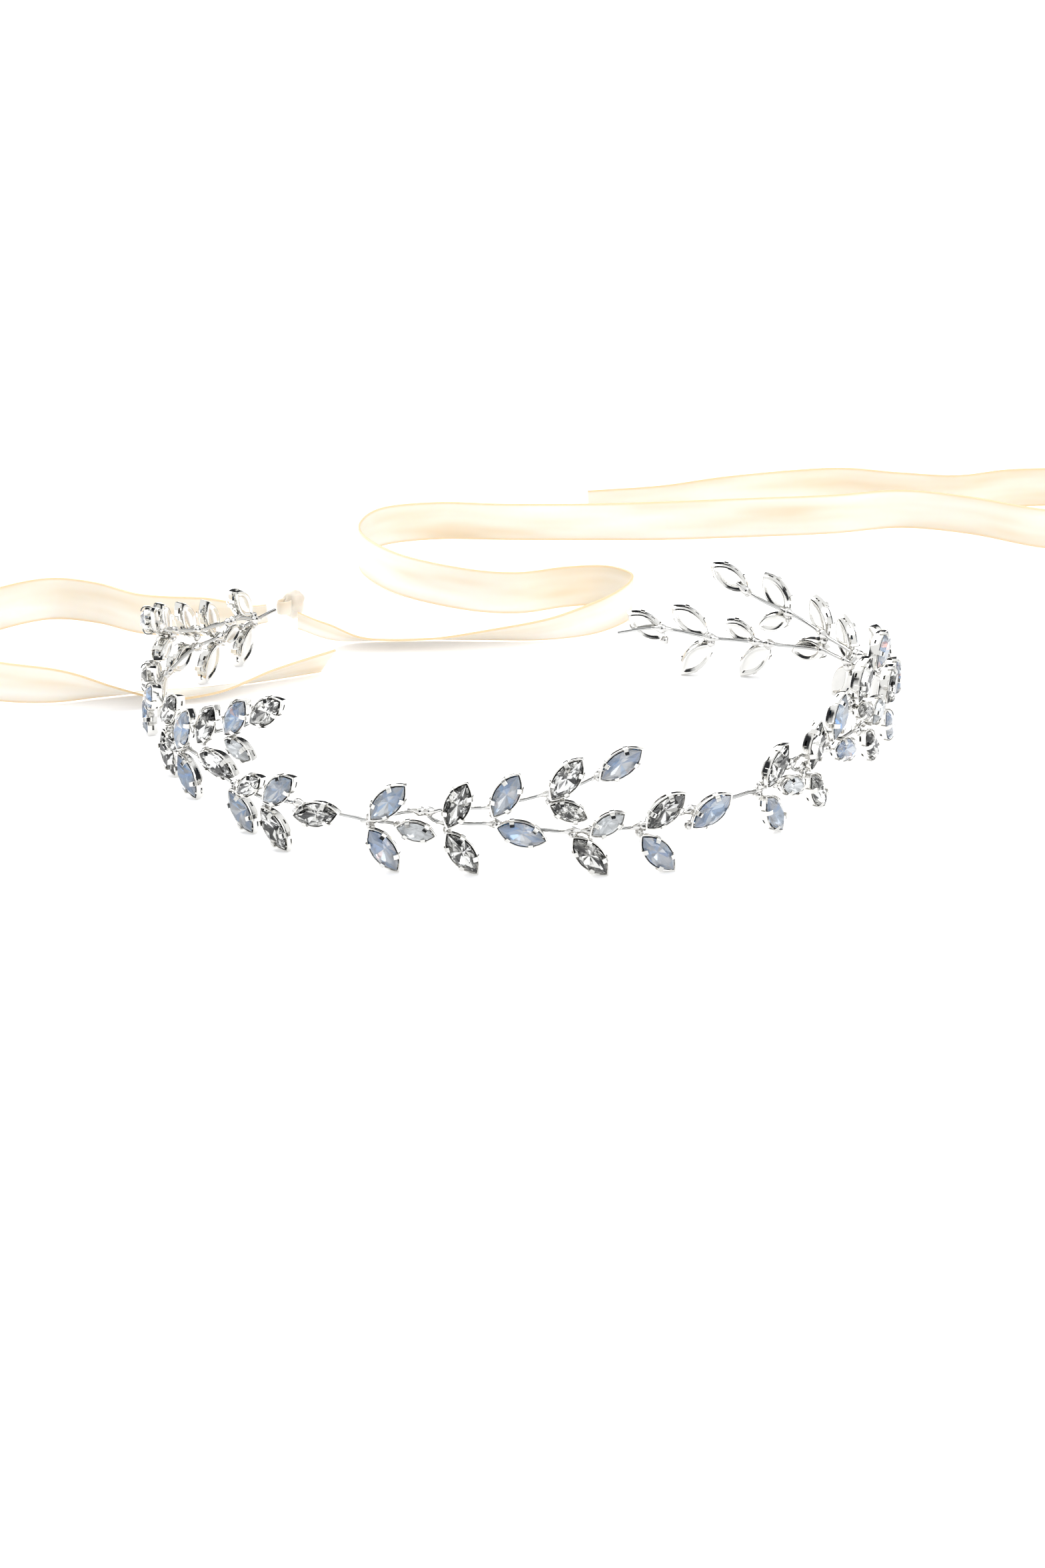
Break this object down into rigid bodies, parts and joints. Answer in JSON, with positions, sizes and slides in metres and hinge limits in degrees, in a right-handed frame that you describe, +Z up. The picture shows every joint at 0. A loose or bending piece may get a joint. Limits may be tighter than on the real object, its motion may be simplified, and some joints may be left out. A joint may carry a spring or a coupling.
{
  "type": "flower crown",
  "caption": "Wire hair crown: forked silver sprays set with pointed oval crystals, linked by bendable necks and tied behind with a satin ribbon.",
  "frame": {"origin": "middle of the crown's footprint without its ribbon, on the surface that its lower leaf tips stand on", "axes": "+Z up, -Y to the front of the head, +X to the viewer's right"},
  "size_m": [0.2766, 0.2745, 0.0296],
  "materials": {
    "silver_plate": "bright silver plate on wire, cups and solder",
    "clear_crystal": "faceted smoky clear crystal with a foiled back",
    "opal_crystal": "faceted milky blue opal crystal",
    "satin_ribbon": "champagne double-faced satin"
  },
  "bodies": {
    "back_left_spray": {"back_left_frame": "silver_plate", "back_left_cluster_crystals": "opal_crystal", "back_left_pair_2_crystals": "clear_crystal", "back_left_pair_3_crystals": "opal_crystal", "back_left_pair_4_crystals": "clear_crystal", "back_left_branch_tip_crystal": "opal_crystal", "back_left_pair_6_lower_crystal": "clear_crystal", "back_left_pair_6_upper_crystal": "opal_crystal", "back_left_pair_7_upper_crystal": "clear_crystal", "back_left_pair_7_lower_crystal": "opal_crystal", "back_left_end_crystal": "opal_crystal", "ribbon_knot": "satin_ribbon", "ribbon_right_tail": "satin_ribbon", "ribbon_left_tail": "satin_ribbon"},
    "front_left_spray": {"front_left_frame": "silver_plate", "front_left_cluster_crystals": "clear_crystal", "front_left_pair_2_crystals": "opal_crystal", "front_left_pair_3_crystals": "clear_crystal", "front_left_pair_4_crystals": "opal_crystal", "front_left_branch_tip_crystal": "clear_crystal", "front_left_pair_6_lower_crystal": "opal_crystal", "front_left_pair_6_upper_crystal": "clear_crystal", "front_left_pair_7_upper_crystal": "opal_crystal", "front_left_pair_7_lower_crystal": "clear_crystal", "front_left_end_crystal": "clear_crystal"},
    "front_spray": {"front_frame": "silver_plate", "front_cluster_crystals": "opal_crystal", "front_pair_2_crystals": "clear_crystal", "front_pair_3_crystals": "opal_crystal", "front_pair_4_crystals": "clear_crystal", "front_branch_tip_crystal": "opal_crystal", "front_pair_6_lower_crystal": "clear_crystal", "front_pair_6_upper_crystal": "opal_crystal", "front_pair_7_upper_crystal": "clear_crystal", "front_pair_7_lower_crystal": "opal_crystal", "front_end_crystal": "opal_crystal"},
    "front_right_spray": {"front_right_frame": "silver_plate", "front_right_cluster_upper_crystal": "clear_crystal", "front_right_cluster_lower_crystals": "opal_crystal", "front_right_pair_2_crystals": "clear_crystal", "front_right_pair_3_crystals": "opal_crystal", "front_right_pair_4_crystals": "clear_crystal", "front_right_branch_tip_crystal": "opal_crystal", "front_right_pair_6_lower_crystal": "clear_crystal", "front_right_pair_6_upper_crystal": "opal_crystal", "front_right_pair_7_upper_crystal": "clear_crystal", "front_right_pair_7_lower_crystal": "opal_crystal", "front_right_end_crystal": "opal_crystal"},
    "back_right_spray": {"back_right_frame": "silver_plate", "back_right_cluster_crystals": "clear_crystal", "back_right_pair_2_crystals": "opal_crystal", "back_right_pair_3_crystals": "clear_crystal", "back_right_pair_4_crystals": "opal_crystal", "back_right_branch_tip_crystal": "clear_crystal", "back_right_pair_6_lower_crystal": "opal_crystal", "back_right_pair_6_upper_crystal": "clear_crystal", "back_right_pair_7_upper_crystal": "opal_crystal", "back_right_pair_7_lower_crystal": "clear_crystal", "back_right_end_crystal": "clear_crystal"}
  },
  "joints": [
    {"name": "front_left_neck", "type": "hinge", "parent": "back_left_spray", "child": "front_left_spray", "pos_m": [-0.07083, -0.00592, 0.0098], "axis": [0, 0, -1], "range_deg": [-4, 25]},
    {"name": "front_neck", "type": "hinge", "parent": "front_left_spray", "child": "front_spray", "pos_m": [-0.03097, -0.06786, 0.0098], "axis": [0, 0, -1], "range_deg": [-4, 25]},
    {"name": "front_right_neck", "type": "hinge", "parent": "front_spray", "child": "front_right_spray", "pos_m": [0.04401, -0.0534, 0.0098], "axis": [0, 0, -1], "range_deg": [-4, 25]},
    {"name": "back_right_neck", "type": "hinge", "parent": "front_right_spray", "child": "back_right_spray", "pos_m": [0.07501, 0.01803, 0.01198], "axis": [0, 0, -1], "range_deg": [-4, 25]}
  ]
}
